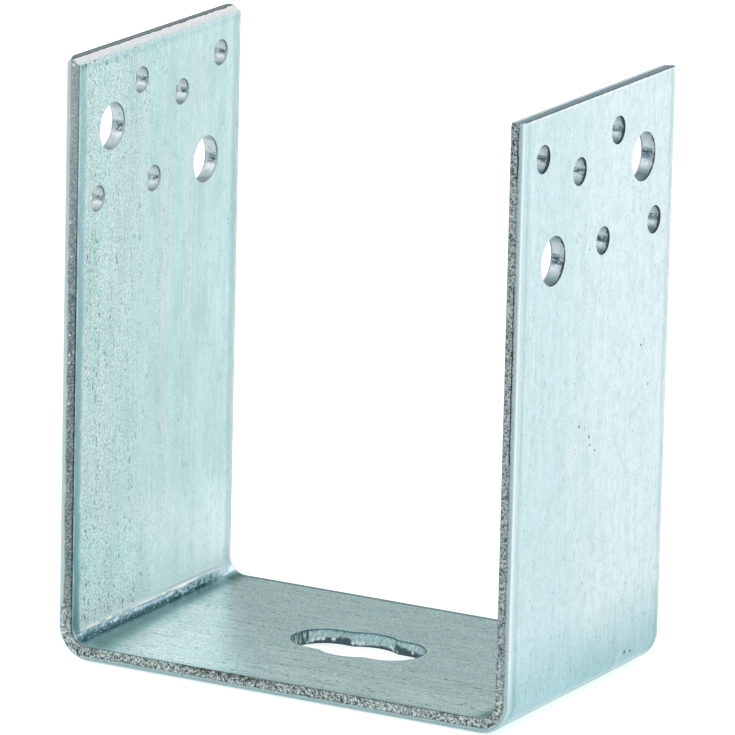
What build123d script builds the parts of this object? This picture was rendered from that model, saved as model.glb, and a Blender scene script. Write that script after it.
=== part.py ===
from build123d import *

import os

# A post bracket: one strip of steel bent cold into a U, then galvanised.
# Millimetres. +X runs across the gap, +Y along the strip's width, +Z up.
# The origin is the middle of the base's underside.

# the strip and its two bends
CLEAR_WIDTH = 91.0      # gap between the cheeks, for a 90 mm post
HEIGHT = 116.0          # underside to the top of a cheek
STRIP_WIDTH = 60.0
SHEET = 3.0
INNER_BEND = 3.5

# what the shears leave on the strip
EDGE_ROLL = 0.9         # rounding of both long edges, on the outer side of the U
EDGE_BURR = 0.3         # the same edges on the inner side
END_ROLL_ACROSS = 0.8   # rounding on the inner side of each cut end, longer down the cheek
END_ROLL_DOWN = 1.2

# the staggered holes of the left cheek, as (position along Y, distance below the top)
# the right cheek has the same pattern turned half round about +Z
BOLT_HOLE = 9.0
BOLT_PLACES = [(-17.5, 15.0), (17.5, 28.0)]
NAIL_HOLE = 5.0
NAIL_PLACES = [(-22.5, 28.0), (-7.0, 8.0), (-2.0, 28.0), (8.0, 13.0), (22.5, 8.0)]
PUNCH_ROLL = 0.2        # rounding where the punch went in, at the inner face
BREAK_OUT = 0.4         # how much wider a hole is where the punch came out
BREAK_DEPTH = 0.8

# the combination hole of the base: a slot across a round hole
SLOT_LENGTH = 27.5
SLOT_WIDTH = 13.5
ROUND_HOLE = 16.5
SLOT_ROLL = 0.25        # rounding of its upper rim

PAST = 2.0              # how far each cutter runs past the sheet


def strip_section():
    """The strip's cross-section, with its outer side towards -X."""
    flat = Rectangle(SHEET, STRIP_WIDTH)
    flat = fillet(flat.vertices().group_by(Axis.X)[0], EDGE_ROLL)
    return fillet(flat.vertices().group_by(Axis.X)[-1], EDGE_BURR)


def bent_strip():
    """The section swept down one cheek, across the base and up the other cheek."""
    side = (CLEAR_WIDTH + SHEET) / 2
    corners = [(-side, 0, HEIGHT), (-side, 0, SHEET / 2), (side, 0, SHEET / 2), (side, 0, HEIGHT)]
    path = FilletPolyline(*corners, radius=INNER_BEND + SHEET / 2)
    start = Plane(origin=corners[0], x_dir=(1, 0, 0), z_dir=(0, 0, -1))
    return sweep(start * strip_section(), path=path)


def end_roll():
    """Cutter for the rounding along the top of the left cheek, on its inner side."""
    corner = Rectangle(END_ROLL_ACROSS + PAST, END_ROLL_DOWN + PAST, align=(Align.MIN, Align.MIN))
    corner -= Ellipse(END_ROLL_ACROSS, END_ROLL_DOWN)
    place = Pos(-CLEAR_WIDTH / 2 - END_ROLL_ACROSS, 0, HEIGHT - END_ROLL_DOWN) * Plane.XZ
    return extrude(place * corner, amount=STRIP_WIDTH, both=True)


def punched_hole(diameter):
    """Cutter along +X from x = 0: rounded entry, straight wall, then the wider break-out."""
    r, out = diameter / 2, (diameter + BREAK_OUT) / 2
    wall = [
        (-PAST, 0), (-PAST, r + PUNCH_ROLL), (0, r + PUNCH_ROLL), (PUNCH_ROLL, r),
        (SHEET - BREAK_DEPTH, r), (SHEET, out), (SHEET + PAST, out), (SHEET + PAST, 0),
    ]
    return revolve(make_face(Plane.XY * Polyline(*wall, close=True)), Axis.X)


def cheek_cuts():
    """Every cut of the left cheek. A hole's entry lies on the cheek's inner face."""
    cuts = [end_roll()]
    for diameter, places in ((BOLT_HOLE, BOLT_PLACES), (NAIL_HOLE, NAIL_PLACES)):
        for along, down in places:
            place = Pos(-CLEAR_WIDTH / 2, along, HEIGHT - down) * Rot(0, 0, 180)
            cuts.append(place * punched_hole(diameter))
    return cuts


def base_hole():
    """Cutter for the combination hole, through the base."""
    outline = SlotOverall(SLOT_LENGTH, SLOT_WIDTH) + Circle(ROUND_HOLE / 2)
    return extrude(Pos(0, 0, -PAST) * outline, amount=SHEET + 2 * PAST)


def slot_rim(part):
    """The edges of the combination hole on the base's upper face."""
    seat = part.faces().filter_by(lambda f: f.normal_at().Z > 0.99 and abs(f.center().Z - SHEET) < 0.01)
    return seat[0].inner_wires()[0].edges()


left = cheek_cuts()
right = [Rot(0, 0, 180) * cut for cut in left]
bracket = bent_strip() - left - right - base_hole()

bracket = chamfer(slot_rim(bracket), SLOT_ROLL)
bracket.label = "u_bracket"

os.makedirs("parts", exist_ok=True)
export_step(bracket, "parts/u_bracket.step")
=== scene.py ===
"""A galvanised U bracket for a square post, standing on a pale studio floor.

The bracket is one strip of steel bent twice. Its mesh is laid out flat, in
strip coordinates, and then bent: S runs along the strip from the middle of the
base, Y across it, and D down through the sheet from the inner face of the U.
Lengths of the strip are in millimetres, and the scene is in metres.
"""

from __future__ import annotations

import logging
import math
from dataclasses import dataclass, field
from enum import Enum

import bpy
import numpy as np
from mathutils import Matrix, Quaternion, Vector, noise
from mathutils.geometry import delaunay_2d_cdt

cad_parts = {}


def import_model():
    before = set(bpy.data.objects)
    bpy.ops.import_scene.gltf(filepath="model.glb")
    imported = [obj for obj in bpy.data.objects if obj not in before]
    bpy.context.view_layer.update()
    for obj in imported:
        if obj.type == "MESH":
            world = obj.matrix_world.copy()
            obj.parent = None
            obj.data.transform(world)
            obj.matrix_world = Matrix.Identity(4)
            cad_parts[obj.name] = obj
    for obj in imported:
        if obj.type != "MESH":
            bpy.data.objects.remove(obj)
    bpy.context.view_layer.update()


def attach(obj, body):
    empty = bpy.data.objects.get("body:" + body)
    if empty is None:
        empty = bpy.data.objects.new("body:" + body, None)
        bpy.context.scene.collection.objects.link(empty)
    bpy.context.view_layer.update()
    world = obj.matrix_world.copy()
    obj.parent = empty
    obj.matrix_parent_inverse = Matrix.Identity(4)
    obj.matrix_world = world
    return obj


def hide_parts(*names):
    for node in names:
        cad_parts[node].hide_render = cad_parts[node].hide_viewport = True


LOG = logging.getLogger("u_bracket")
MM = 0.001
NODE = "u_bracket"

Span = tuple[float, float]
Triple = tuple[float, float, float]
Levels = tuple[float, float, float, float]
# what sits at S, Y and D with a radius
Spots = tuple[tuple[float, float, float, float], ...]
# a length in millimetres, a hex colour and a strength at each stop of a ramp
Stops = tuple[tuple[float, str, float], ...]
Share = bpy.types.Node | bpy.types.NodeSocket | float


class Finish(Enum):
    """The bracket's surfaces, each with the index of its material slot."""

    ROLLED = 0
    SHEARED = 1
    CUT_END = 2
    PUNCHED = 3


class Side(Enum):
    """The two broad faces of the strip."""

    INNER = 0
    OUTER = 1


# ---------------------------------------------------------------- helpers


def srgb(code: str) -> tuple[float, float, float, float]:
    """Turn an sRGB hex colour into a linear RGBA one.

    Args:
        code: the colour as "#rrggbb".

    Returns:
        The linear colour, opaque.
    """
    parts = [int(code[i : i + 2], 16) / 255 for i in (1, 3, 5)]
    linear = [p / 12.92 if p <= 0.04045 else ((p + 0.055) / 1.055) ** 2.4 for p in parts]
    return (*linear, 1.0)


def smooth(low: float | np.ndarray, high: float | np.ndarray, value: np.ndarray) -> np.ndarray:
    """Rise smoothly from 0 at low to 1 at high.

    Args:
        low: where the rise starts.
        high: where it ends.
        value: the numbers to map.

    Returns:
        Numbers from 0 to 1.
    """
    t = np.clip((value - low) / (high - low), 0, 1)
    return t * t * (3 - 2 * t)


def lumps(points: np.ndarray, size: Triple, seed: float) -> np.ndarray:
    """Smooth noise over strip coordinates.

    Args:
        points: strip coordinates, one row each.
        size: the length of one lump along S, Y and D, in millimetres.
        seed: moves the pattern, so that two layers differ.

    Returns:
        Numbers from about -0.7 to 0.7.
    """
    scaled = points / np.array(size) + seed
    return np.array([noise.noise(Vector(p)) for p in scaled.tolist()])


class Nodes:
    """The nodes of a material or of a world."""

    def __init__(self, owner: bpy.types.Material | bpy.types.World) -> None:
        """Start from no nodes at all.

        Args:
            owner: the material or world.
        """
        owner.use_nodes = True
        self.tree = owner.node_tree
        self.tree.nodes.clear()

    def add(self, kind: str, inputs: dict | None = None, **settings: object) -> bpy.types.Node:
        """Add a shader node, set it up and link it.

        Args:
            kind: the node's type, without its ShaderNode prefix.
            inputs: a value, a socket or a node for each input, by name or index. A
                node stands for its first working output.
            settings: the node's own properties.

        Returns:
            The new node.
        """
        node = self.tree.nodes.new("ShaderNode" + kind)
        for name, value in settings.items():
            setattr(node, name, value)
        for key, value in (inputs or {}).items():
            named = [s for s in node.inputs if s.name == key and s.enabled]
            socket = named[0] if named else node.inputs[key]
            if isinstance(value, bpy.types.Node):
                value = next(s for s in value.outputs if s.enabled)
            if isinstance(value, bpy.types.NodeSocket):
                self.tree.links.new(value, socket)
            else:
                socket.default_value = value
        return node


def show(name: str, data: bpy.types.ID) -> bpy.types.Object:
    """Put an object in the scene.

    Args:
        name: what it is called.
        data: its mesh, lamp or camera.

    Returns:
        The object.
    """
    shown = bpy.data.objects.new(name, data)
    bpy.context.scene.collection.objects.link(shown)
    return shown


# ---------------------------------------------------------------- the strip


@dataclass(frozen=True)
class Strip:
    """The bent strip: its sizes, and the way from flat to bent."""

    clear_width: float = 91.0
    height: float = 116.0
    width: float = 60.0
    sheet: float = 3.0
    inner_bend: float = 3.5
    # radii of the long edges' corners, at the outer face and at the inner one
    edge_roll: float = 0.9
    edge_burr: float = 0.3
    # how deep the chamfer of each cropped end goes, and how far down it reaches
    end_roll_left: float = 1.5
    end_roll_right: float = 0.2
    end_roll_down: float = 1.2

    @property
    def base(self) -> float:
        """Half of the base's flat, from its middle to a bend."""
        return self.clear_width / 2 - self.inner_bend

    @property
    def bend(self) -> float:
        """Length of one bend along the middle of the sheet."""
        return math.pi / 2 * (self.inner_bend + self.sheet / 2)

    @property
    def half(self) -> float:
        """Half of the strip's length."""
        return self.base + self.bend + self.height - self.sheet - self.inner_bend

    def place(self, flat: np.ndarray) -> np.ndarray:
        """Bend strip coordinates into the U.

        Args:
            flat: rows of S, Y and D in millimetres.

        Returns:
            Rows of x, y and z in metres.
        """
        s, y, d = flat.T
        run = np.abs(s)
        turn = np.clip((run - self.base) / self.bend, 0, 1) * math.pi / 2
        radius = self.inner_bend + d
        x = np.sign(s) * (np.minimum(run, self.base) + radius * np.sin(turn))
        z = self.sheet + self.inner_bend - radius * np.cos(turn)
        z += np.maximum(run - self.base - self.bend, 0)
        return np.stack([x, y, z], axis=1) * MM

    def edge_inset(self, depth: float) -> float:
        """How far a long edge stands back from the full width.

        Args:
            depth: the depth in the sheet.

        Returns:
            The set-back, round at both corners.
        """
        if depth < self.edge_burr:
            return self.edge_burr - math.sqrt(self.edge_burr**2 - (self.edge_burr - depth) ** 2)
        over = depth - (self.sheet - self.edge_roll)
        if over > 0:
            return self.edge_roll - math.sqrt(max(self.edge_roll**2 - over**2, 0.0))
        return 0.0

    def end_inset(self, depth: float, across: float) -> float:
        """How far a cut end stands back: a flat chamfer with soft corners.

        Args:
            depth: the depth in the sheet.
            across: how deep the chamfer goes.

        Returns:
            The set-back.
        """
        left = max(1 - depth / across, 0.0)
        return self.end_roll_down * (0.92 * left + 0.08 * (1 - math.sqrt(1 - left**2)))


@dataclass(frozen=True)
class Hole:
    """A punched hole: an obround, with a round hole through its middle if wanted.

    The punch enters at one face, and the sheet breaks out wider at the other.
    """

    s: float
    y: float
    diameter: float
    length: float = 0.0
    across: float = 0.0
    entry_roll: float = 0.2
    break_out: float = 0.2
    shear: float = 2.2
    step: float = 0.26
    fine_steps: int = 7200

    def reach(self, angle: np.ndarray) -> np.ndarray:
        """Distance from the centre to the wall in a direction.

        Args:
            angle: directions in radians, from +S towards +Y.

        Returns:
            Distances in millimetres.
        """
        radius = self.diameter / 2
        centre = max(self.length / 2 - radius, 0.0)
        c, s = np.abs(np.cos(angle)), np.abs(np.sin(angle))
        round_end = centre * c + np.sqrt(np.maximum(radius**2 - (centre * s) ** 2, 0))
        flat_side = radius / np.maximum(s, 1e-9)
        slot = np.where(flat_side * c < centre, flat_side, round_end)
        return np.maximum(slot, self.across / 2)

    def outline(self) -> tuple[np.ndarray, np.ndarray]:
        """Points evenly spaced round the wall, and their normals into the steel.

        Returns:
            Two arrays of rows of S and Y.
        """
        angle = np.linspace(0, 2 * math.pi, self.fine_steps + 1)
        reach = self.reach(angle)
        line = np.stack([reach * np.cos(angle), reach * np.sin(angle)], axis=1)
        travel = np.concatenate([[0], np.cumsum(np.linalg.norm(np.diff(line, axis=0), axis=1))])
        count = int(round(travel[-1] / self.step / 4)) * 4
        where = np.linspace(0, travel[-1], count, endpoint=False)
        ring = np.stack([np.interp(where, travel, line[:, i]) for i in (0, 1)], axis=1)
        tangent = np.roll(ring, -1, axis=0) - np.roll(ring, 1, axis=0)
        normal = np.stack([tangent[:, 1], -tangent[:, 0]], axis=1)
        normal /= np.linalg.norm(normal, axis=1, keepdims=True)
        return ring + (self.s, self.y), normal

    def holds(self, points: np.ndarray, margin: float) -> np.ndarray:
        """Which points lie in the hole, or within a margin of it.

        Args:
            points: rows of S and Y.
            margin: how far beyond the wall still counts, in millimetres.

        Returns:
            Whether each point does.
        """
        return self.clearance(points) < margin

    def clearance(self, points: np.ndarray) -> np.ndarray:
        """How far each row of S and Y lies beyond the wall, along a line from the centre."""
        offset = points - (self.s, self.y)
        return np.linalg.norm(offset, axis=1) - self.reach(np.arctan2(offset[:, 1], offset[:, 0]))

    def profile(self, sheet: float) -> list[Span]:
        """Depths down the wall, each with how far the wall stands back.

        Args:
            sheet: how thick the sheet is.

        Returns:
            The depths and set-backs, in millimetres from the inner face.
        """
        roll, torn = self.entry_roll, sheet - self.shear
        steps = [math.radians(a) for a in (0, 30, 60, 90)]
        entry = [(roll * (1 - math.cos(a)), roll * (1 - math.sin(a))) for a in steps]
        middle = [(d, 0.0) for d in np.linspace(roll, self.shear, 7)[1:]]
        out = [(d, self.break_out * (d - self.shear) / torn) for d in np.linspace(self.shear, sheet, 5)[1:]]
        return entry + middle + out


# ---------------------------------------------------------------- the mesh


@dataclass
class StripMesh:
    """Collects points in strip coordinates and faces with their finishes.

    Each point also has its place on the strip before wear, and in its hole.
    """

    points: list[np.ndarray] = field(default_factory=list)
    places: list[np.ndarray] = field(default_factory=list)
    bores: list[np.ndarray] = field(default_factory=list)
    faces: list[tuple[int, ...]] = field(default_factory=list)
    finishes: list[int] = field(default_factory=list)
    count: int = 0

    def add_points(
        self, flat: np.ndarray, place: np.ndarray | None = None, bore: np.ndarray | None = None
    ) -> np.ndarray:
        """Add points.

        Args:
            flat: rows of S, Y and D.
            place: the same rows before wear, where they differ.
            bore: where each point lies in its hole, if it is on a wall.

        Returns:
            The points' indices.
        """
        self.points.append(flat)
        self.places.append(flat if place is None else place)
        self.bores.append(np.zeros((len(flat), 3)) if bore is None else bore)
        self.count += len(flat)
        return np.arange(self.count - len(flat), self.count)

    def loft(self, rings: list[np.ndarray], finish: Finish, hole: bool = False) -> None:
        """Join closed rings of equal length with quads.

        Args:
            rings: point indices of each ring, from the inner face outwards.
            finish: the finish of the quads.
            hole: whether the steel lies outside the rings.
        """
        for near, far in zip(rings, rings[1:]):
            near_next, far_next = np.roll(near, -1), np.roll(far, -1)
            corners = [near, near_next, far_next, far] if hole else [near, far, far_next, near_next]
            quads = np.stack(corners, axis=1)
            self.faces += [tuple(q) for q in quads.tolist()]
            self.finishes += [finish.value] * len(quads)

    def fill(
        self, rim: np.ndarray, holes: list[tuple[Hole, np.ndarray]], inside: np.ndarray, side: Side
    ) -> None:
        """Fill a broad face between its rim and its holes with triangles.

        Args:
            rim: point indices round the strip.
            holes: each hole with the indices of its own rim.
            inside: rows of S and Y for the points of the face itself.
            side: which face of the strip this is.
        """
        every = np.concatenate(self.points)
        loops = [rim] + [ring for _, ring in holes]
        depth = every[rim[0], 2]
        own = self.add_points(np.column_stack([inside, np.full(len(inside), depth)]))
        index = np.concatenate(loops + [own])
        flat = np.concatenate([every[np.concatenate(loops), :2], inside])
        edges, start = [], 0
        for loop in loops:
            edges += [(start + i, start + (i + 1) % len(loop)) for i in range(len(loop))]
            start += len(loop)
        found = delaunay_2d_cdt([Vector(p) for p in flat.tolist()], edges, [], 0, 1e-7, True)
        source = np.array([ids[0] for ids in found[3]])
        triangles = source[np.array(found[2])]
        middle = flat[triangles].mean(axis=1)
        keep = np.ones(len(triangles), bool)
        for hole, ring in holes:
            keep &= ~hole.holds(middle, hole.clearance(every[ring, :2]).mean() - 0.02)
        corner = flat[triangles]
        one, two = corner[:, 1] - corner[:, 0], corner[:, 2] - corner[:, 0]
        keep &= np.abs(one[:, 0] * two[:, 1] - one[:, 1] * two[:, 0]) > 1e-6
        triangles = index[triangles[keep]]
        if side is Side.OUTER:
            triangles = triangles[:, ::-1]
        self.faces += [tuple(t) for t in triangles.tolist()]
        self.finishes += [Finish.ROLLED.value] * len(triangles)


# ---------------------------------------------------------------- the bracket


@dataclass
class Bracket:
    """The whole bracket, one strip with its holes and its worked edges."""

    strip: Strip = Strip()
    bolt_hole: float = 9.0
    bolt_places: tuple[Span, ...] = ((-17.5, 15.0), (17.5, 28.0))
    nail_hole: float = 5.0
    nail_places: tuple[Span, ...] = (
        (-22.5, 28.0), (-7.0, 8.0), (-2.0, 28.0), (8.0, 13.0), (22.5, 8.0),
    )
    slot_length: float = 27.5
    slot_width: float = 13.5
    round_hole: float = 16.5
    # where along S, and how deep, the tear starts in the wall of the base's hole
    tear: tuple[Span, ...] = (
        (-13.4, 3.1), (-12.6, 2.5), (-10.9, 1.95), (-8.0, 1.6), (-5.6, 1.35), (-5.1, 2.3),
        (-3.9, 2.75), (-1.0, 2.55), (0.7, 2.3), (3.6, 2.35), (4.1, 0.9), (5.0, 1.05),
        (5.9, 1.35), (7.2, 1.6), (8.5, 1.8), (10.0, 1.9), (12.0, 1.5),
    )
    corner_bite: float = 1.5
    # the slope pressed into the inside of each fold: how high it goes up the cheek,
    # and how far it goes over the base
    crease_height: float = 1.65
    foot_width: float = 0.75
    crease_lip: float = 0.42
    # how far apart the mesh's points lie: along the edges, in the bends, and over
    # the faces, closer on the inside of a fold
    edge_step: float = 0.36
    bend_step: float = 0.32
    fold_step: float = 0.24
    fold_across: float = 0.45
    bend_across: float = 0.75
    face_step: float = 1.3
    # the torn steel of the edges: its depth at the left and the right bend, how far
    # it stands back, how rough it is, and the crack down the right leg
    torn_depths: Span = (2.05, 1.5)
    torn_recess: float = 0.1
    torn_grain: float = 0.12
    crack_depth: float = 1.44
    crack_recess: float = 0.14
    deepest_wear: float = 0.3
    # the long and the short waves of the sheet, the grain of a bend's outside, the
    # band that the knife pressed beside each edge, and the depth of a chip
    long_wave: float = 0.025
    short_wave: float = 0.006
    bend_grain: float = 0.012
    pressed_band: float = 0.03
    chip_depth: float = 0.06
    # the wall of a hole: its scores, and the torn part's recess and roughness
    score_depth: float = 0.015
    wall_recess: float = 0.05
    wall_grain: float = 0.08
    # edges of the mesh sharper than this, in degrees, aren't smoothed
    sharp_angle: float = 50.0
    # drops of zinc on torn steel: S, Y, D and radius
    drops: Spots = (
        (-12.3, 4.2, 2.2, 0.45), (-11.5, 5.0, 2.0, 0.38), (-10.8, 5.6, 2.0, 0.4),
        (-9.0, 6.45, 2.0, 0.42), (-5.0, 6.75, 2.3, 0.4), (-4.2, 7.1, 2.1, 0.3),
        (-3.7, 7.4, 2.4, 0.28), (-3.1, 7.6, 2.15, 0.3), (2.9, 7.7, 2.0, 0.3),
        (3.2, 7.6, 2.25, 0.32), (3.5, 7.5, 2.5, 0.28), (4.5, 6.9, 2.5, 0.25),
        (8.1, 6.65, 2.1, 0.32), (-101.0, -30.0, 1.4, 0.26), (-102.6, -30.0, 1.3, 0.24),
        (-158.2, -30.0, 1.3, 0.3), (-106.3, -30.0, 1.4, 0.22), (-128.0, -30.0, 1.5, 0.24),
        (-121.5, -30.0, 1.2, 0.2), (-93.0, -30.0, 1.4, 0.2),
    )
    # small dark chips in the zinc of a broad face: S, Y, D and radius
    chips: Spots = (
        (-157.6, -28.6, 0.0, 0.42), (-157.75, -27.5, 0.0, 0.36), (49.0, 16.1, 3.0, 0.28),
        (48.7, 18.6, 3.0, 0.24), (97.4, -5.4, 3.0, 0.26), (94.6, -1.3, 3.0, 0.26),
        (92.9, -0.8, 3.0, 0.2), (91.5, 1.3, 3.0, 0.22), (108.0, 18.7, 3.0, 0.2),
        (99.7, 22.1, 3.0, 0.2),
    )

    def holes(self) -> list[Hole]:
        """The holes of both cheeks and the base, in strip coordinates.

        Returns:
            The holes, with the one in the base last.
        """
        top = self.strip.half
        found = []
        for size, places in ((self.bolt_hole, self.bolt_places), (self.nail_hole, self.nail_places)):
            for y, down in places:
                found.append(Hole(down - top, y, size))
                found.append(Hole(top - down, -y, size))
        found.append(Hole(0, 0, self.slot_width, self.slot_length, self.round_hole, entry_roll=0.25))
        return found

    def depths(self) -> list[float]:
        """The depths of the rings round the edge of the sheet, closer at its corners.

        Returns:
            Depths from the inner face to the outer one.
        """
        strip = self.strip
        # the rounded corners, and between them the torn and the burnished steel
        burr = [strip.edge_burr * (1 - math.cos(math.radians(a))) for a in (0, 45, 90)]
        flat = [0.42, 0.58, 0.76, 0.94, 1.1, 1.26, 1.4, strip.end_roll_left, 1.62, 1.77, 1.93]
        roll = [strip.sheet - strip.edge_roll * (1 - math.sin(math.radians(a))) for a in range(0, 91, 15)]
        return burr + flat + roll

    def stations(self) -> np.ndarray:
        """Places along the strip for the points of its long edges.

        Returns:
            Values of S, in order.
        """
        strip = self.strip
        marks = [0, strip.base, strip.base + strip.bend, strip.half]
        steps = [self.edge_step, self.bend_step, self.edge_step]
        spans = zip(marks, marks[1:], steps)
        runs = [np.linspace(a, b, int(round((b - a) / step)), endpoint=False) for a, b, step in spans]
        right = np.concatenate(runs + [[strip.half]])
        return np.concatenate([-right[:0:-1], right])

    def edge_ring(self, depth: float) -> np.ndarray:
        """One ring round the edge of the sheet.

        Args:
            depth: how deep in the sheet the ring lies.

        Returns:
            Rows of S, Y and D, turning from +S to +Y.
        """
        strip = self.strip
        s = self.stations()
        past = np.maximum(np.abs(s) - (strip.half - 5), 0) / 5
        inset = [strip.end_inset(depth, across) for across in (strip.end_roll_left, strip.end_roll_right)]
        s = np.sign(s) * (np.abs(s) - past * np.where(s < 0, *inset))
        half_width = strip.width / 2 - strip.edge_inset(depth)
        y = np.linspace(-half_width, half_width, int(strip.width / self.edge_step) + 1)
        front = np.column_stack([s[:-1], np.full(len(s) - 1, -half_width)])
        right = np.column_stack([np.full(len(y) - 1, s[-1]), y[:-1]])
        back = np.column_stack([s[:0:-1], np.full(len(s) - 1, half_width)])
        left = np.column_stack([np.full(len(y) - 1, s[0]), y[:0:-1]])
        loop = np.concatenate([front, right, back, left])
        return np.column_stack([loop, np.full(len(loop), depth)])

    def face_points(self, side: Side, holes: list[Hole]) -> np.ndarray:
        """Points for a broad face: rows along it, finer rows in the bends.

        Args:
            side: which face.
            holes: the holes to keep clear of.

        Returns:
            Rows of S and Y.
        """
        strip = self.strip
        half_width = strip.width / 2 - (strip.edge_burr if side is Side.INNER else strip.edge_roll)
        half = strip.half - (strip.end_roll_down if side is Side.INNER else 0.0)
        marks = [0, strip.base, strip.base + strip.bend, half]
        steps = [self.face_step, self.bend_step * 1.1, self.face_step]
        rows = []
        for number, (a, b, step) in enumerate(zip(marks, marks[1:], steps)):
            fine = number == 1 and side is Side.INNER
            s = np.linspace(a, b, int(round((b - a) / (self.fold_step if fine else step))), endpoint=False)
            across = self.fold_across if fine else self.bend_across if number == 1 else self.face_step
            inner = half_width - 0.5 * across
            y = np.linspace(-inner, inner, int(round(2 * inner / across)))
            s = s[s < half - 0.4 * across]
            rows.append(np.stack(np.meshgrid(s, y), axis=-1).reshape(-1, 2))
        right = np.concatenate(rows)
        points = np.concatenate([right, right[right[:, 0] > 0] * (-1, 1)])
        keep = np.ones(len(points), bool)
        extra = []
        turn = np.linspace(0, 2 * math.pi, 6, endpoint=False)
        star = np.stack([np.cos(turn), np.sin(turn)], axis=1)
        for s, y, d, radius in self.chips:
            if (d == 0) == (side is Side.INNER):
                keep &= np.linalg.norm(points - (s, y), axis=1) > 2.4 * radius
                extra.append(np.concatenate([[(0, 0)], 0.7 * radius * star, 1.5 * radius * star]) + (s, y))
        for hole in holes:
            keep &= ~hole.holds(points, 1.5)
            ring, normal = hole.outline()
            for gap, skip in ((0.55, 2), (1.1, 3)):
                extra.append((ring + normal * gap)[::skip])
        return np.concatenate([points[keep]] + extra)

    def edge_wear(self, flat: np.ndarray) -> np.ndarray:
        """How far each point of the sheared edges stands back, in millimetres.

        Args:
            flat: strip coordinates of the edge rings.

        Returns:
            Recess of each point, never negative.
        """
        s, y, d = flat.T
        far = np.sign(y)
        shear = np.interp(s, [-60, 60], self.torn_depths) + 0.18 * lumps(flat, (7, 90, 90), 3.7)
        torn = smooth(0.2, 0.5, d) * (1 - smooth(shear - 0.1, shear + 0.15, d))
        grain = 0.5 * lumps(flat, (0.9, 40, 1.6), 11.3) + 0.5 * lumps(flat, (0.45, 40, 0.5), 5.1)
        recess = torn * (self.torn_recess + self.torn_grain * grain)
        broken = smooth(-0.05, 0.15, lumps(flat * (1, 0, 0) + (0, 1, 0) * far[:, None], (6, 3, 9), 8.2))
        away = d - self.crack_depth - 0.1 * lumps(flat * (1, 0, 0), (3, 3, 3), 1.9)
        recess += self.crack_recess * np.exp(-((away / 0.09) ** 2)) * broken * smooth(45, 60, s)
        return np.clip(recess - self.zinc_drops(flat)[1], 0, self.deepest_wear)

    def face_wear(self, flat: np.ndarray) -> np.ndarray:
        """How far each point of a broad face lies under the full sheet.

        Args:
            flat: strip coordinates.

        Returns:
            Recess of each point, negative where the lip of a fold stands proud.
        """
        strip = self.strip
        s, y, d = flat.T
        inner = d < strip.sheet / 2
        wave = self.long_wave * (1 + lumps(flat, (45, 18, 9), 2.3))
        wave += self.short_wave * (1 + lumps(flat, (9, 5, 9), 6.1))
        run = np.abs(s)
        fold = smooth(strip.base - 0.6, strip.base + 0.8, run)
        fold *= 1 - smooth(strip.base + strip.bend - 0.8, strip.base + strip.bend + 0.6, run)
        crease = lumps(flat, (0.9, 3.2, 9), 4.4) + 0.6 * lumps(flat, (0.7, 1.2, 9), 9.9)
        edge = strip.width / 2 - np.abs(y)
        wave += np.where(inner, self.fold(flat)[0], fold * self.bend_grain * (1 + crease))
        wave += np.where(inner, self.pressed_band * np.exp(-(((edge - 1.5) / 0.6) ** 2)), 0)
        wave += self.chip_depth * self.spots(flat, self.chips)
        return np.clip(wave, np.where(inner, -0.12, 0), 1.3)

    def bitten_corner(self, flat: np.ndarray) -> np.ndarray:
        """How far the shears pulled down the outer front corner of the left leg's end."""
        near = smooth(2.0, 3.0, flat[:, 2]) * (1 - smooth(-30, -27, flat[:, 1]))
        return self.corner_bite * near * smooth(self.strip.half - 4, self.strip.half, -flat[:, 0])

    def spots(self, flat: np.ndarray, places: Spots) -> np.ndarray:
        """How much each point lies in one of some round spots.

        Args:
            flat: strip coordinates.
            places: the spots.

        Returns:
            Shares from 0 to 1.
        """
        share = np.zeros(len(flat))
        for s, y, d, radius in places:
            share = np.maximum(share, 1 - smooth(0.7, 1.4, np.linalg.norm(flat - (s, y, d), axis=1) / radius))
        return share

    def fold(self, flat: np.ndarray) -> tuple[np.ndarray, np.ndarray]:
        """The inside of a fold, pressed tighter than its radius and wrinkled.

        The cheek runs straight down to a crease. A wrinkled slope leads on to a
        foot on the base, and narrows towards the back.

        Args:
            flat: strip coordinates of an inner face.

        Returns:
            How far each point lies under the plain radius, and where it lies on
            the fold: below 0 in mm on the base, 0 to 4 on the slope, then in mm
            up the cheek.
        """
        strip, (s, y, _) = self.strip, flat.T
        radius = strip.inner_bend
        run = np.abs(s)
        turn = np.clip((run - strip.base) / strip.bend, 0.01, 0.99) * math.pi / 2
        high = self.crease_height - 0.3 * smooth(20, 27, y)
        wide = self.foot_width - 0.3 * smooth(11, 19, y) + 0.2 * lumps(flat * (0, 1, 0), (9, 4, 9), 5.5)
        crease, foot = np.arctan2(radius, radius - high), np.arctan2(radius - wide, radius)
        slope = (radius * high + (radius - high) * wide) / (high * np.sin(turn) + wide * np.cos(turn))
        reach = np.minimum(slope, np.minimum(radius / np.sin(turn), radius / np.cos(turn)))
        below = radius - wide - radius * np.tan(np.minimum(turn, foot)) + np.maximum(strip.base - run, 0)
        above = radius * (1 - 1 / np.tan(np.maximum(turn, crease))) - high
        above += np.maximum(run - strip.base - strip.bend, 0)
        share = np.clip((turn - foot) / (crease - foot), 0, 1)
        place = np.where(turn < foot, -below, 4 * share + np.where(turn > crease, above, 0))
        band = smooth(0, 0.15, share) * (1 - smooth(0.85, 1, share)) * (1 - 0.7 * smooth(14, 22, y))
        wrinkle = 0.1 * lumps(flat, (0.7, 1.4, 9), 4.4) + 0.07 * lumps(flat, (0.4, 0.7, 9), 9.9)
        ridge = 0.04 * np.exp(-(((place - 3.9) / 0.3) ** 2)) * (1 - smooth(16, 24, y))
        groove = 0.08 * np.exp(-((place / 0.35) ** 2))
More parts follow.
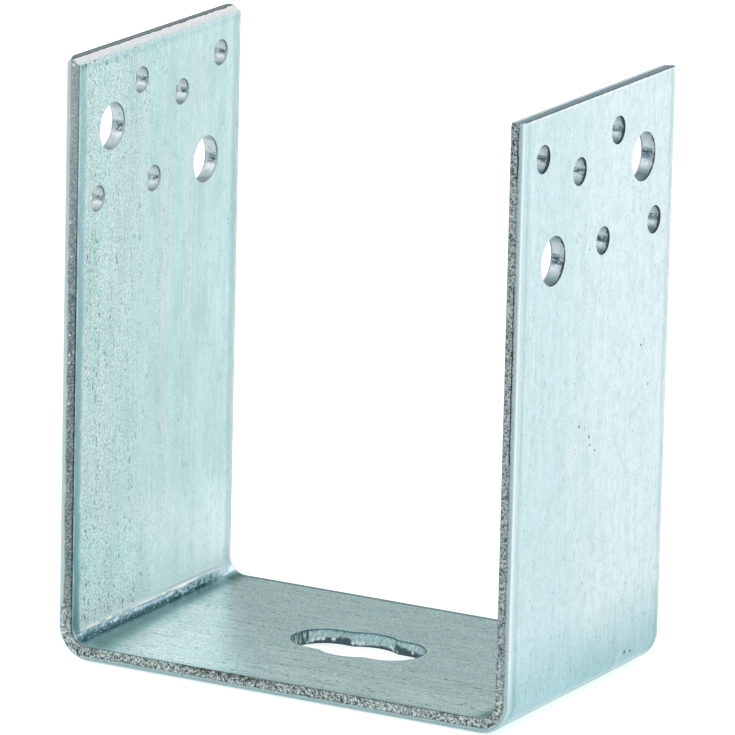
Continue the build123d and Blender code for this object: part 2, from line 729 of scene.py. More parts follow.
        # the cheek swells to a low lip above the crease
        lip = self.crease_lip * np.clip(place / 4, 0, 1) * np.exp(-np.maximum(place - 4, 0) / 1.6)
        bent = smooth(strip.base - 0.4, strip.base + 0.3, run)
        edge = smooth(-30, -27.8, y) * (1 - smooth(24, 30, y))
        return bent * edge * (reach - radius + band * wrinkle - ridge - lip + groove), place

    def wall_wear(self, flat: np.ndarray, hole: Hole) -> np.ndarray:
        """How far each point of a hole's wall stands back into the steel.

        Args:
            flat: strip coordinates of the wall.
            hole: the hole.

        Returns:
            Recess of each point, below nothing where a drop of zinc stands on it.
        """
        d = flat[:, 2]
        broken = smooth(hole.shear - 0.25, hole.shear + 0.2, d + 0.2 * lumps(flat, (1.5, 1.5, 9), 7.7))
        grain = lumps(flat, (0.7, 0.7, 0.5), 3.3) + 0.5 * lumps(flat, (0.35, 0.35, 0.4), 12.8)
        score = self.score_depth * (1 + lumps(flat, (0.5, 0.5, 30), 0.6))
        return score + broken * (self.wall_recess + self.wall_grain * grain) - self.zinc_drops(flat)[1]

    def bore(self, hole: Hole, ring: np.ndarray) -> np.ndarray:
        """Where each point of a ring lies in its hole.

        Args:
            hole: the hole.
            ring: rows of S and Y round its wall.

        Returns:
            Rows of how far up the point lies, from -1 to 1, whether the hole is
            the one in the base, and the hole's radius.
        """
        offset = ring - (hole.s, hole.y)
        up = np.sign(hole.s) * offset[:, 0] / np.linalg.norm(offset, axis=1)
        in_base = float(hole.s == 0)
        return np.column_stack([up, np.full(len(ring), in_base), np.full(len(ring), hole.diameter / 2)])

    def slot_tear(self, flat: np.ndarray) -> np.ndarray:
        """Where the wall of the hole in the base is torn.

        Args:
            flat: strip coordinates.

        Returns:
            Shares from 0 to 1.
        """
        s, _, d = flat.T
        start = np.interp(s, *zip(*self.tear)) + 0.12 * lumps(flat, (0.8, 9, 9), 2.6)
        return smooth(start - 0.08, start + 0.08, d)

    def zinc_drops(self, flat: np.ndarray) -> tuple[np.ndarray, np.ndarray]:
        """Drops of zinc left on the torn steel.

        Args:
            flat: strip coordinates.

        Returns:
            How much each point is zinc, and how far it stands proud.
        """
        share, height = np.zeros(len(flat)), np.zeros(len(flat))
        for s, y, d, radius in self.drops:
            away = np.linalg.norm(flat - (s, y, d), axis=1) / radius
            share = np.maximum(share, 1 - smooth(0.7, 1.15, away))
            height = np.maximum(height, 0.4 * radius * (1 - smooth(0.0, 1.1, away)))
        return share, height

    def worn_ring(self, ring: np.ndarray) -> np.ndarray:
        """Wear a ring of the edge back, but not where it meets a broad face.

        Args:
            ring: rows of S, Y and D at one depth.

        Returns:
            The worn rows.
        """
        moved = ring.copy()
        if 0 < ring[0, 2] < self.strip.sheet:
            wear = self.edge_wear(ring)
            for axis in (1, 0):
                low, high = ring[:, axis].min(), ring[:, axis].max()
                at_limit = np.isclose(ring[:, axis], low) | np.isclose(ring[:, axis], high)
                moved[:, axis] -= np.where(at_limit, np.sign(ring[:, axis]) * wear, 0)
        return moved

    def loft_edges(self, mesh: StripMesh) -> list[np.ndarray]:
        """Loft the edge of the sheet, with the cut ends in their own finish.

        Args:
            mesh: takes the points and faces.

        Returns:
            The point indices of each ring, from the inner face outwards.
        """
        strip, first = self.strip, len(mesh.faces)
        rings = [self.edge_ring(depth) for depth in self.depths()]
        index = [mesh.add_points(self.worn_ring(ring), ring) for ring in rings]
        mesh.loft(index, Finish.SHEARED)
        ends = np.abs(rings[0][:, 0]) > strip.half - strip.end_roll_down - 1e-6
        for ring in range(len(index) - 1):
            for i in np.flatnonzero(ends & np.roll(ends, -1)):
                mesh.finishes[first + ring * len(ends) + i] = Finish.CUT_END.value
        return index

    def loft_wall(self, mesh: StripMesh, hole: Hole) -> list[np.ndarray]:
        """Loft the wall of a hole, worn except where it meets a broad face.

        Args:
            mesh: takes the points and faces.
            hole: the hole.

        Returns:
            The point indices of each ring, from the inner face outwards.
        """
        ring, normal = hole.outline()
        bore, loops = self.bore(hole, ring), []
        for depth, offset in hole.profile(self.strip.sheet):
            plain = np.column_stack([ring + normal * offset, np.full(len(ring), depth)])
            moved = plain.copy()
            if 0 < depth < self.strip.sheet:
                moved[:, :2] += normal * self.wall_wear(plain, hole)[:, None]
            loops.append(mesh.add_points(moved, plain, bore))
        mesh.loft(loops, Finish.PUNCHED, hole=True)
        return loops

    def build(self) -> bpy.types.Object:
        """Build the bracket's mesh, with what its finishes read stored on the points.

        Returns:
            The bracket, in place.
        """
        mesh, holes = StripMesh(), self.holes()
        index = self.loft_edges(mesh)
        walls = [(hole, self.loft_wall(mesh, hole)) for hole in holes]
        for side, layer in ((Side.INNER, 0), (Side.OUTER, -1)):
            rims = [(hole, loops[layer]) for hole, loops in walls]
            mesh.fill(index[layer], rims, self.face_points(side, holes), side)
        flat, place, bore = (np.concatenate(rows) for rows in (mesh.points, mesh.places, mesh.bores))
        inner, outer = place[:, 2] <= 0, place[:, 2] >= self.strip.sheet
        face = inner | outer
        flat[face, 2] += self.face_wear(place[face]) * np.where(inner[face], 1, -1)
        flat[:, 0] += self.bitten_corner(place)
        data = bpy.data.meshes.new("bracket")
        data.from_pydata(self.strip.place(flat).tolist(), [], mesh.faces)
        data.polygons.foreach_set("material_index", mesh.finishes)
        data.polygons.foreach_set("use_smooth", [True] * len(mesh.faces))
        stored = {
            "strip": place,
            "bore": bore,
            "zinc": self.zinc_drops(place)[0],
            "tear": self.slot_tear(place),
            "chip": self.spots(place, self.chips),
            "fold": self.fold(place)[1],
        }
        for name, values in stored.items():
            kind, field_name = ("FLOAT", "value") if values.ndim == 1 else ("FLOAT_VECTOR", "vector")
            attribute = data.attributes.new(name, kind, "POINT")
            attribute.data.foreach_set(field_name, values.astype(np.float32).ravel())
        data.set_sharp_from_angle(angle=math.radians(self.sharp_angle))
        data.update()
        return show("bracket", data)


# ---------------------------------------------------------------- the finishes


class Coat(Nodes):
    """A finish under way: its material, and the ways to lay colours over the strip.

    Place is a point's strip coordinates in millimetres, and along, across and
    depth are its S, Y and D.
    """

    def __init__(self, name: str) -> None:
        """Start an empty material.

        Args:
            name: what the material is called.
        """
        self.material = bpy.data.materials.new(name)
        super().__init__(self.material)
        self.place = self.add("Attribute", attribute_name="strip").outputs["Vector"]
        self.along, self.across, self.depth = self.add("SeparateXYZ", {"Vector": self.place}).outputs

    def all_of(self, *shares: Share) -> Share:
        """Multiply shares together, so that only what has them all is left.

        Args:
            shares: the shares, as numbers, sockets or nodes.

        Returns:
            Their product.
        """
        result = shares[0]
        for share in shares[1:]:
            result = self.add("Math", {0: result, 1: share}, operation="MULTIPLY")
        return result

    def lumpy(
        self, size: Triple, levels: Levels, detail: float = 3.0, seed: float = 0.0, *within: Share
    ) -> Share:
        """Noise whose lumps have a real size, spread between two levels.

        Args:
            size: the length of a lump along S, Y and D, in millimetres.
            levels: the noise at the low and high end, and what they become.
            detail: octaves of finer noise on top.
            seed: moves the pattern.
            within: shares that keep the noise to a part of the surface.

        Returns:
            The level.
        """
        scale = tuple(1 / length for length in size)
        where = self.add("VectorMath", {0: self.place, 1: scale, 2: (seed,) * 3}, operation="MULTIPLY_ADD")
        noisy = self.add("TexNoise", {"Vector": where, "Scale": 1.0, "Detail": detail, "Roughness": 0.6})
        return self.all_of(self.share(noisy, levels[:2], top=levels[3], low=levels[2]), *within)

    def wander(
        self, value: Share, size: Triple, reach: float, detail: float = 3.0, seed: float = 0.0, *within: Share
    ) -> Share:
        """Let a value stray a little, so that the borders laid on it aren't straight.

        Args:
            value: the value.
            size: the length of a bay along S, Y and D, in millimetres.
            reach: how far the value strays at most.
            detail: octaves of finer noise on top.
            seed: moves the pattern.
            within: shares that keep the straying to a part of the surface.

        Returns:
            The value that strays.
        """
        stray = self.lumpy(size, (0.3, 0.7, -reach, reach), detail, seed, *within)
        return self.add("Math", {0: value, 1: stray}, operation="ADD")

    def share(
        self, value: Share, rise: Span, fall: Span | None = None, top: float = 1.0, low: float = 0.0
    ) -> Share:
        """The share of a surface that a value picks out, between soft borders.

        Args:
            value: what the borders are laid on.
            rise: where the share starts and where it is full.
            fall: where it starts to fall and where it ends, if it does.
            top: the full share.
            low: the share before it rises.

        Returns:
            The share.
        """
        spread = {"Value": value, "From Min": rise[0], "From Max": rise[1], "To Min": low, "To Max": top}
        up = self.add("MapRange", spread)
        return self.all_of(up, self.share(value, fall[::-1])) if fall else up

    def paint(self, base: object, layers: list[tuple[Share, object]]) -> object:
        """Lay colours over a base one after another, each by its share.

        Args:
            base: the colour underneath, as a hex code or a node.
            layers: the share and the colour of each layer.

        Returns:
            The colour.
        """
        for share, colour in layers:
            under, over = (srgb(each) if isinstance(each, str) else each for each in (base, colour))
            base = self.add("Mix", {"Factor": share, "A": under, "B": over}, data_type="RGBA")
        return base

    def zones(self, value: Share, stops: Stops) -> tuple[object, Share]:
        """Colours that follow one another along a value.

        Args:
            value: a length in millimetres.
            stops: the length, hex colour and strength at each stop, in order.

        Returns:
            The colour and its strength.
        """
        low, high = stops[0][0], stops[-1][0]
        ramp = self.add("ValToRGB", {"Fac": self.share(value, (low, high))})
        elements = ramp.color_ramp.elements
        for at, _, _ in stops[1:-1]:
            elements.new((at - low) / (high - low))
        for stop, (_, code, strength) in zip(elements, stops):
            stop.color = (*srgb(code)[:3], strength)
        return ramp.outputs[0], ramp.outputs[1]

    def seal(self, **sockets: object) -> bpy.types.Material:
        """Give the shader its inputs, and finish the material.

        Args:
            sockets: a value or a node for each input, by its name.

        Returns:
            The material.
        """
        named = {name.replace("_", " "): value for name, value in sockets.items()}
        shader = self.add("BsdfPrincipled", named)
        self.add("OutputMaterial", {"Surface": shader})
        return self.material


@dataclass(frozen=True)
class RolledZinc:
    """Hot-dip galvanised sheet, levelled by rolls: a pale, bluish, satin metal.

    The rolls leave fine lines along the strip, and the zinc's own grain shows as
    soft clouds and a fine speckle. The front of the inner face is scuffed, with
    short dark and bright dashes, and the press has creased the folds. Light is
    painted in as well: shade on the base by each fold and outside the bends, a
    highlight above each crease, light on the cheeks above it and on the front of
    the base, and a reflection of the left cheek on the base.
    """

    teal: str = "#b6dfdb"
    lavender: str = "#c8dde0"
    ice: str = "#dff1f6"
    cloud: str = "#9cc3c2"
    streak: str = "#bfe2e8"
    frost: str = "#f4fbfc"
    dash: str = "#557d80"
    speck: str = "#8aa9ac"
    pit: str = "#4d6164"
    rim: str = "#86b4b9"
    deep_rim: str = "#5f97a0"
    cheek_reflection: str = "#f4e8e5"
    # colours up the inside of a fold, along the bracket's own measure of it
    # painted shade on the base by the foot and low on the slope, and a painted highlight above the crease
    fold: Stops = (
        (-9.5, "#7ba3a4", 0.0), (-6.4, "#7ba3a4", 0.35), (-4.8, "#6b9897", 0.9),
        (-3.7, "#4f8281", 1.0), (-3.0, "#47736f", 1.0), (-1.0, "#4b7674", 1.0),
        (-0.1, "#466f73", 1.0), (0.35, "#41666f", 1.0), (0.9, "#4c7684", 1.0),
        (1.6, "#7ba5b4", 1.0), (2.3, "#c2dee9", 1.0), (3.6, "#dcf0f7", 1.0), (3.75, "#ffffff", 1.0),
        (4.25, "#ffffff", 1.0), (4.45, "#f0fbfb", 0.8), (4.9, "#f0fbfb", 0.5),
        (5.5, "#f0fbfb", 0.0),
    )

    def clouds(self, on: Coat, inner: Share, outer: Share, base: object) -> object:
        """The broad bands and clouds of the coating, and the fine lines of the rolls.

        Args:
            on: the coat.
            inner: how much a point is on the inner face.
            outer: how much it is on the outer face.
            base: the colour underneath.

        Returns:
            The colour.
        """
        front = on.share(on.wander(on.across, (45, 6, 40), 8, 3.0, 8.8), (2, -12), low=0.1)
        layers = [
            (on.lumpy((26, 7, 40), (0.45, 0.75, 0, 0.55), 3.0, 3.1, inner), self.cloud),
            (on.all_of(front, outer, 0.5), self.streak),
            (on.lumpy((2.2, 1.6, 40), (0.42, 0.7, 0, 0.3), 4.0, 12.4), self.cloud),
            (on.lumpy((16, 0.8, 40), (0.45, 0.7, 0, 0.17), 3.0, 7.7), self.cloud),
            (on.lumpy((12, 0.7, 40), (0.5, 0.72, 0, 0.28), 3.0, 17.7), self.frost),
        ]
        return on.paint(base, layers)

    def speckle(self, on: Coat, inner: Share, base: Share) -> list[tuple[Share, str]]:
        """The fine speckle, and the dashes scuffed into the front of the inner face.

        Args:
            on: the coat.
            inner: how much a point is on the inner face.
            base: how much it is on the base.

        Returns:
            The layers.
        """
        front = on.share(on.wander(on.across, (30, 9, 40), 9, seed=1.4), (4, -20), low=0.25)
        front = on.add("Math", {0: front, 1: base}, operation="MAXIMUM")
        front = on.add("Mix", {"Factor": inner, "A": 0.26, "B": front})
        # dashes half a millimetre wide and a millimetre or two long, in columns
        column = on.lumpy((14, 2.6, 40), (0.46, 0.6, 0.1, 1), 2.0, 21.0)
        # pits a third of a millimetre wide, a few to the square centimetre
        cell = on.add("TexVoronoi", {"Vector": on.place, "Scale": 0.55})
        pit = on.share(cell, (0.12, 0.06))
        return [
            # grain under half a millimetre, drawn a little coarser so that it shows
            (on.lumpy((0.42, 0.55, 40), (0.47, 0.68, 0, 0.75), 2.0, 5.2, front), self.speck),
            (on.lumpy((0.4, 0.5, 40), (0.5, 0.7, 0, 0.7), 2.0, 15.2, front), self.frost),
            (on.lumpy((1.3, 0.5, 40), (0.6, 0.68, 0, 1), 1.0, 11.2, column, front), self.dash),
            (on.lumpy((4, 3, 40), (0.54, 0.62, 0, 0.8), 3.0, 9.9, pit), self.pit),
            (on.add("Attribute", attribute_name="chip").outputs["Fac"], "#1d3236"),
        ]

    def worn_rim(self, on: Coat, run: Share, inner: Share, base: Share) -> list[tuple[Share, str]]:
        """The band that the slitting knife pressed down, darker low on the legs.

        Args:
            on: the coat.
            run: how far a point is from the middle of the base.
            inner: how much it is on the inner face.
            base: how much it is on the base.

        Returns:
            The layers.
        """
        size = on.add("Math", {0: on.across}, operation="ABSOLUTE")
        size = on.wander(size, (5, 60, 40), 0.35, seed=2.2)
        leg = on.share(run, (40, 48))
        low = on.share(run, (42, 48), (60, 140), 0.75)
        front = on.share(on.across, (-20, -24))
        side = on.share(on.across, (1, -1), low=0.45)
        top = on.share(run, (110, 155), top=0.75, low=1)
        outside = on.share(inner, (0, 1), top=0, low=1)
        foot = on.share(on.along, (-157.9, -157.4), (-157, -156.4), 0.3)
        lit = on.share(on.along, (158.8, 159.05), top=0.8)
        return [
            (on.all_of(on.share(size, (26.8, 27.7), (30.4, 30.8), 0.85), inner, leg, side, top), self.rim),
            (on.all_of(on.share(size, (27.3, 28.4), (30.4, 30.8), 0.9), low, inner, front), self.deep_rim),
            (on.all_of(on.share(size, (29.2, 29.5), (29.8, 30.1), 0.4), inner, leg), self.frost),
            (on.all_of(on.share(size, (28.6, 29.0), (29.3, 29.7), 0.4), inner, base), self.rim),
            # a painted highlight along the top of the right leg's outer face
            (on.lumpy((40, 2, 40), (0.42, 0.56, 0, 1), 3.0, 71.0, lit, outside), "#ffffff"),
            (on.all_of(on.share(on.across, (28.5, 28.9), (31, 32), 0.85), inner, base), "#567c80"),
            (on.all_of(on.share(size, (27.2, 28.0), (28.6, 29), 0.3), outside, leg), self.rim),
            # a line of painted shade on the inner face, just under the left leg's end chamfer
            (on.lumpy((1, 2.5, 40), (0.4, 0.55, 0.2, 1), 3.0, 0.0, foot, inner), self.rim),
        ]

    def creased_fold(self, on: Coat, base: object, inner: Share) -> object:
        """Crease the inside of a fold: a bright line, blue wrinkles and a dark foot.

        Args:
            on: the coat.
            base: the colour underneath.
            inner: how much a point is on the inner face.

        Returns:
            The colour.
        """
        # the fold's colours carry painted light: a highlight above the crease and shade on the base by the
        # foot
        fold = on.add("Attribute", attribute_name="fold").outputs["Fac"]
        # the shade on the base is wider towards the front, and narrow at the right fold
        wide = on.share(on.across, (-28, 12), top=1.5, low=0.76)
        shade = on.all_of(fold, on.share(on.along, (-1, 1), top=2.2, low=1), wide)
        shade = on.add("Math", {0: shade, 1: 0.0}, operation="MINIMUM")
        near = on.add("Math", {0: fold, 1: 0.0}, operation="MAXIMUM")
        near = on.add("Math", {0: near, 1: shade}, operation="ADD")
        near = on.wander(near, (2.2, 3.2, 40), 1.1, 4.0, 0.0, on.share(fold, (0.2, 1.2), (2.8, 3.6)))
        colour, strength = on.zones(near, self.fold)
        base = on.paint(base, [(on.all_of(strength, inner), colour)])
        slope = on.all_of(on.share(fold, (0.1, 0.4), (3.5, 3.7)), inner)
        high = on.share(near, (0.8, 1.4), (3.6, 4.2), 0.75)
        # the painted highlight above the crease is dulled in places, and behind
        dull = on.lumpy((9, 3, 40), (0.48, 0.58, 0, 0.6), 3.0, 0.0, on.share(fold, (3.6, 3.8), (4.3, 4.6)))
        behind = on.all_of(on.share(on.across, (-4, 6)), on.share(fold, (4.4, 4.6), (4.9, 5.2), 0.5))
        dull = on.add("Math", {0: dull, 1: behind}, operation="MAXIMUM")
        end = on.all_of(on.share(on.across, (20, 27)), on.share(fold, (-1.5, 0.5), (5, 9), 0.8), inner)
        brushed, gritty = on.share(near, (-9, -5), (-1, 0)), on.share(near, (-6, -3), (0, 0.5))
        layers = [
            # grey-green streaks and grit brushed out of the foot over the base
            (on.lumpy((3.5, 0.6, 40), (0.48, 0.62, 0, 0.6), 4.0, 81.0, brushed, inner), "#5e8a89"),
            (on.lumpy((0.5, 0.5, 40), (0.52, 0.66, 0, 0.7), 4.0, 83.0, gritty, inner), "#3d6266"),
            (on.all_of(on.share(on.across, (8, 20)), high, inner), "#b4d6d8"),
            (on.lumpy((0.7, 1.5, 40), (0.5, 0.6, 0, 0.8), 4.0, 31.0, slope), "#34586c"),
            (on.lumpy((0.6, 1.1, 40), (0.52, 0.62, 0, 0.85), 4.0, 37.0, slope), "#c4dfe6"),
            (on.all_of(dull, inner), "#a9c9cc"),
            (end, "#c6dde4"),
        ]
        return on.paint(base, layers)

    def colour(self, on: Coat) -> object:
        """Build the zinc's colour.

        Args:
            on: the coat.

        Returns:
            The colour.
        """
        across, run = on.across, on.add("Math", {0: on.along}, operation="ABSOLUTE")
        inner, outer = on.share(on.depth, (2, 1)), on.share(on.depth, (1, 2))
        base = on.share(run, (46, 40))
        foot = on.all_of(on.share(run, (46.5, 47.5), (52, 72), 0.9), inner)
        front = on.all_of(on.share(across, (-12, -24), top=0.9), base, inner)
        glare = on.all_of(on.share(across, (-21, -26)), on.share(on.along, (-38, -32), (-20, -8)), inner)
        back = on.all_of(on.share(across, (2, 24), top=0.4), on.share(run, (47, 55)), inner)
        # painted reflection of the left cheek on the base by the left fold, and painted shade outside both
        # bends
        slant = on.add("Math", {0: across, 1: -0.59, 2: run}, operation="MULTIPLY_ADD")
        cheek_reflection = on.all_of(on.share(slant, (24, 34)), on.share(on.along, (-12, -18)), inner)
        cheek_reflection = on.all_of(cheek_reflection, on.share(run, (43, 41)))
        bend = on.all_of(on.share(run, (38, 47), (50, 62), 0.9), outer)
        layers = [
            # rolled bands, 5 mm across and about as long as the bracket is tall
            (on.lumpy((110, 5, 40), (0.36, 0.64, 0, 1)), self.lavender),
            (outer, self.ice),
            (back, "#cdeef0"),
            # painted light on each cheek just above the crease
            (foot, "#ecffff"),
            # painted light, paler towards the front of the base
            (on.lumpy((14, 3, 40), (0.35, 0.6, 0.3, 1), 3.0, 19.0, front), "#e2fffd"),
            (on.lumpy((9, 1.5, 40), (0.35, 0.55, 0.4, 1), 3.0, 29.0, glare), "#fbffff"),
            (cheek_reflection, self.cheek_reflection),
            # painted shade on the outside of both bends
            (bend, "#b0d5d9"),
        ]
        colour = self.clouds(on, inner, outer, on.paint(self.teal, layers))
        forward = on.share(across, (14, -8), low=0.3)
        layers = [
            # more painted light on the cheeks just above the creases
            (on.all_of(on.share(run, (46.5, 47.5), (51, 60), 0.6), inner), "#ecffff"),
            # the base is brushed along its length, most at its front
            (on.lumpy((12, 0.9, 40), (0.5, 0.64, 0, 0.45), 4.0, 93.0, base, inner), "#7eacab"),
            (on.lumpy((16, 0.8, 40), (0.48, 0.62, 0, 0.55), 4.0, 91.0, base, inner, forward), "#eafffd"),
        ]
        colour = on.paint(colour, layers + self.speckle(on, inner, base))
        return on.paint(self.creased_fold(on, colour, inner), self.worn_rim(on, run, inner, base))

    def material(self) -> bpy.types.Material:
        """Build the material.

        Returns:
            The material.
        """
        on = Coat("galvanised_sheet")
        relief = on.lumpy((2.5, 0.5, 1), (0.2, 0.8, 0, 1), 4.0, 2.5)
        bump = on.add("Bump", {"Strength": 0.4, "Distance": 0.00003, "Height": relief})
        # the zinc turned matt where the press rubbed the cheeks above the folds
        fold = on.add("Attribute", attribute_name="fold").outputs["Fac"]
        gloss = on.lumpy((14, 3, 40), (0.3, 0.7, 0.26, 0.36), 3.0, 4.0)
        gloss = on.add("Math", {0: gloss, 1: on.share(fold, (3.4, 3.7), (6, 20), 0.3)}, operation="ADD")
        return on.seal(Base_Color=self.colour(on), Metallic=0.85, Roughness=gloss, Normal=bump)


@dataclass(frozen=True)
class ShearedEdge:
    """The long edges, cut by a slitting knife: torn steel beside a burnished band.

    The zinc rolls over the outer corner. The torn steel is grey and granular, and
    drops of zinc sit on it. Each leg and the base broke differently. A dark line
    at the rounded burr is painted shade, and a pale line on the right leg's
    rolled corner is a painted highlight.
    """

    # the dark line at 0.14 mm, on the rounded burr, is painted shade
    left_leg: Stops = (
        (0.0, "#3c4c50", 0.2), (0.14, "#26343a", 0.2), (0.34, "#647a7e", 0.5),
        (1.4, "#72888b", 0.55), (1.72, "#879b9e", 0.4), (1.95, "#c4d6d9", 0.1),
        (2.5, "#c4dadc", 0.0), (3.0, "#d6ecee", 0.0),
    )
    # the dark line at 0.12 mm, on the rounded burr, is painted shade
    base: Stops = (
        (0.0, "#7fa2a5", 0.1), (0.12, "#46585a", 0.3), (0.28, "#879996", 1.0),
        (1.7, "#94a6a3", 1.0), (1.86, "#4f6264", 0.6), (1.98, "#b5cdce", 0.2),
        (2.35, "#a9c6c8", 0.1), (2.45, "#7fa0a4", 0.0), (2.55, "#b9d6d8", 0.0),
        (3.0, "#bcd6d8", 0.0),
    )
    # the pale line from 2.62 to 2.82 mm, on the rolled corner, is a painted highlight
    right_leg: Stops = (
        (0.0, "#8fa3a5", 0.2), (0.3, "#87999b", 0.9), (1.3, "#95a9aa", 1.0), (1.55, "#7c9093", 0.6),
        (1.8, "#8fa8ad", 0.5), (2.0, "#a9c3c8", 0.25), (2.45, "#b2ced3", 0.1),
        (2.62, "#eefbfc", 0.0), (2.82, "#eefbfc", 0.0), (2.93, "#cfe6ea", 0.0),
        (3.0, "#cfe6ea", 0.0),
    )

    def colour(self, on: Coat) -> object:
        """Build the edge's colour.

        Args:
            on: the coat.

        Returns:
            The colour.
        """
        along, depth = on.along, on.depth
        deep = on.wander(depth, (4, 40, 40), 0.2, 4.0, 1.0)
        near = on.add("Mix", {"Factor": on.share(depth, (0.5, 1.0), (1.7, 2.2)), "A": depth, "B": deep})
        left, base, right = (on.zones(near, stops) for stops in (self.left_leg, self.base, self.right_leg))
        from_left, to_right = on.share(along, (-56, -46)), on.share(along, (46, 58))
        colour = on.paint(left[0], [(from_left, base[0]), (to_right, right[0])])
        torn = on.add("Mix", {"Factor": from_left, "A": left[1], "B": base[1]})
        torn = on.add("Mix", {"Factor": to_right, "A": torn, "B": right[1]})
        # less of the grain shines on the legs
        shiny = on.all_of(torn, on.share(from_left, (0, 1), low=0.75))
        shiny = on.all_of(shiny, on.share(to_right, (0, 1), top=0.6, low=1))
        sooty = on.all_of(on.share(along, (-26, -18), (-4, 4)), on.share(depth, (0.1, 0.3), (0.9, 1.5)))
        spot = on.all_of(on.share(along, (-19, -16), (-7, -3)), on.share(depth, (0.02, 0.1), (0.3, 0.8)))
        corner = on.all_of(on.share(along, (-56, -52), (-42, -36)), on.share(depth, (0.8, 1.3), (2.3, 2.7)))
        layers = [
            (on.lumpy((1.6, 40, 0.9), (0.45, 0.7, 0, 0.6), 3.0, 26.0, torn), "#b4c4c3"),
            # torn grain of about a third of a millimetre, drawn a little coarser to show
            (on.lumpy((0.42, 40, 0.45), (0.48, 0.57, 0, 0.95), 3.0, 6.0, torn), "#3b4a4c"),
            (on.lumpy((0.42, 40, 0.45), (0.49, 0.59, 0, 0.95), 3.0, 16.0, shiny), "#dfe8e7"),
            (on.lumpy((0.9, 40, 0.5), (0.68, 0.74, 0, 1), 2.0, 36.0, torn), "#141c1e"),
            # dark steel and brown rust under the zinc in front of the hole
            (on.lumpy((1.0, 40, 0.6), (0.46, 0.6, 0, 0.8), 3.0, 76.0, sooty), "#2c3836"),
            (on.lumpy((1.2, 40, 0.8), (0.42, 0.52, 0, 0.95), 3.0, 46.0, spot), "#3a2217"),
            # the left leg is paler towards its top
            (on.share(along, (-112, -150), top=0.4), "#c0d0d3"),
            # the outer corner of the left bend is chipped black and white
            (on.lumpy((0.6, 40, 0.5), (0.54, 0.6, 0, 0.9), 3.0, 56.0, corner), "#1f2a2d"),
            (on.lumpy((0.6, 40, 0.6), (0.56, 0.62, 0, 0.9), 3.0, 66.0, corner), "#f4fbfb"),
        ]
        return on.paint(colour, layers + self.cracks(on))

    def cracks(self, on: Coat) -> list[tuple[Share, str]]:
        """The black tear down the right leg, the creases at its ends, and drops of zinc.

        Args:
            on: the coat.

        Returns:
            The layers.
        """
        along, depth = on.along, on.depth
        line = on.share(on.wander(depth, (2.5, 40, 40), 0.14, 4.0, 4.0), (1.42, 1.54), (1.68, 1.82))
        closed = on.share(on.share(along, (86, 97), (128, 136)), (0, 1), low=0.15)
        gape = on.lumpy((5, 40, 40), (0.42, 0.5, 0.15, 1), 3.0, 14.0, closed)
        for deepest in (on.share(along, (94, 100), (122, 128)), on.share(along, (145, 151), (157, 158))):
            gape = on.add("Math", {0: gape, 1: deepest}, operation="MAXIMUM")
        ends = {0: on.share(along, (145, 150), top=0.8), 1: on.share(along, (42, 45), (50, 54), 0.9)}
        ends = on.add("Math", ends, operation="MAXIMUM")
        steel = on.share(depth, (2.0, 1.6))
        return [
            (on.all_of(line, gape, on.share(along, (52, 60))), "#111a1c"),
            (on.lumpy((0.9, 40, 0.9), (0.56, 0.62, 0, 0.9), 3.0, 24.0, steel, ends), "#2b3a40"),
            (on.add("Attribute", attribute_name="zinc").outputs["Fac"], "#f2fafc"),
        ]

    def material(self) -> bpy.types.Material:
        """Build the material.

        Returns:
            The material.
        """
        on = Coat("sheared_edge")
        relief = on.lumpy((0.4, 40, 0.5), (0.2, 0.8, 0, 1), 4.0, 6.5)
        bump = on.add("Bump", {"Strength": 0.6, "Distance": 0.00006, "Height": relief})
        return on.seal(Base_Color=self.colour(on), Metallic=0.8, Roughness=0.46, Normal=bump)


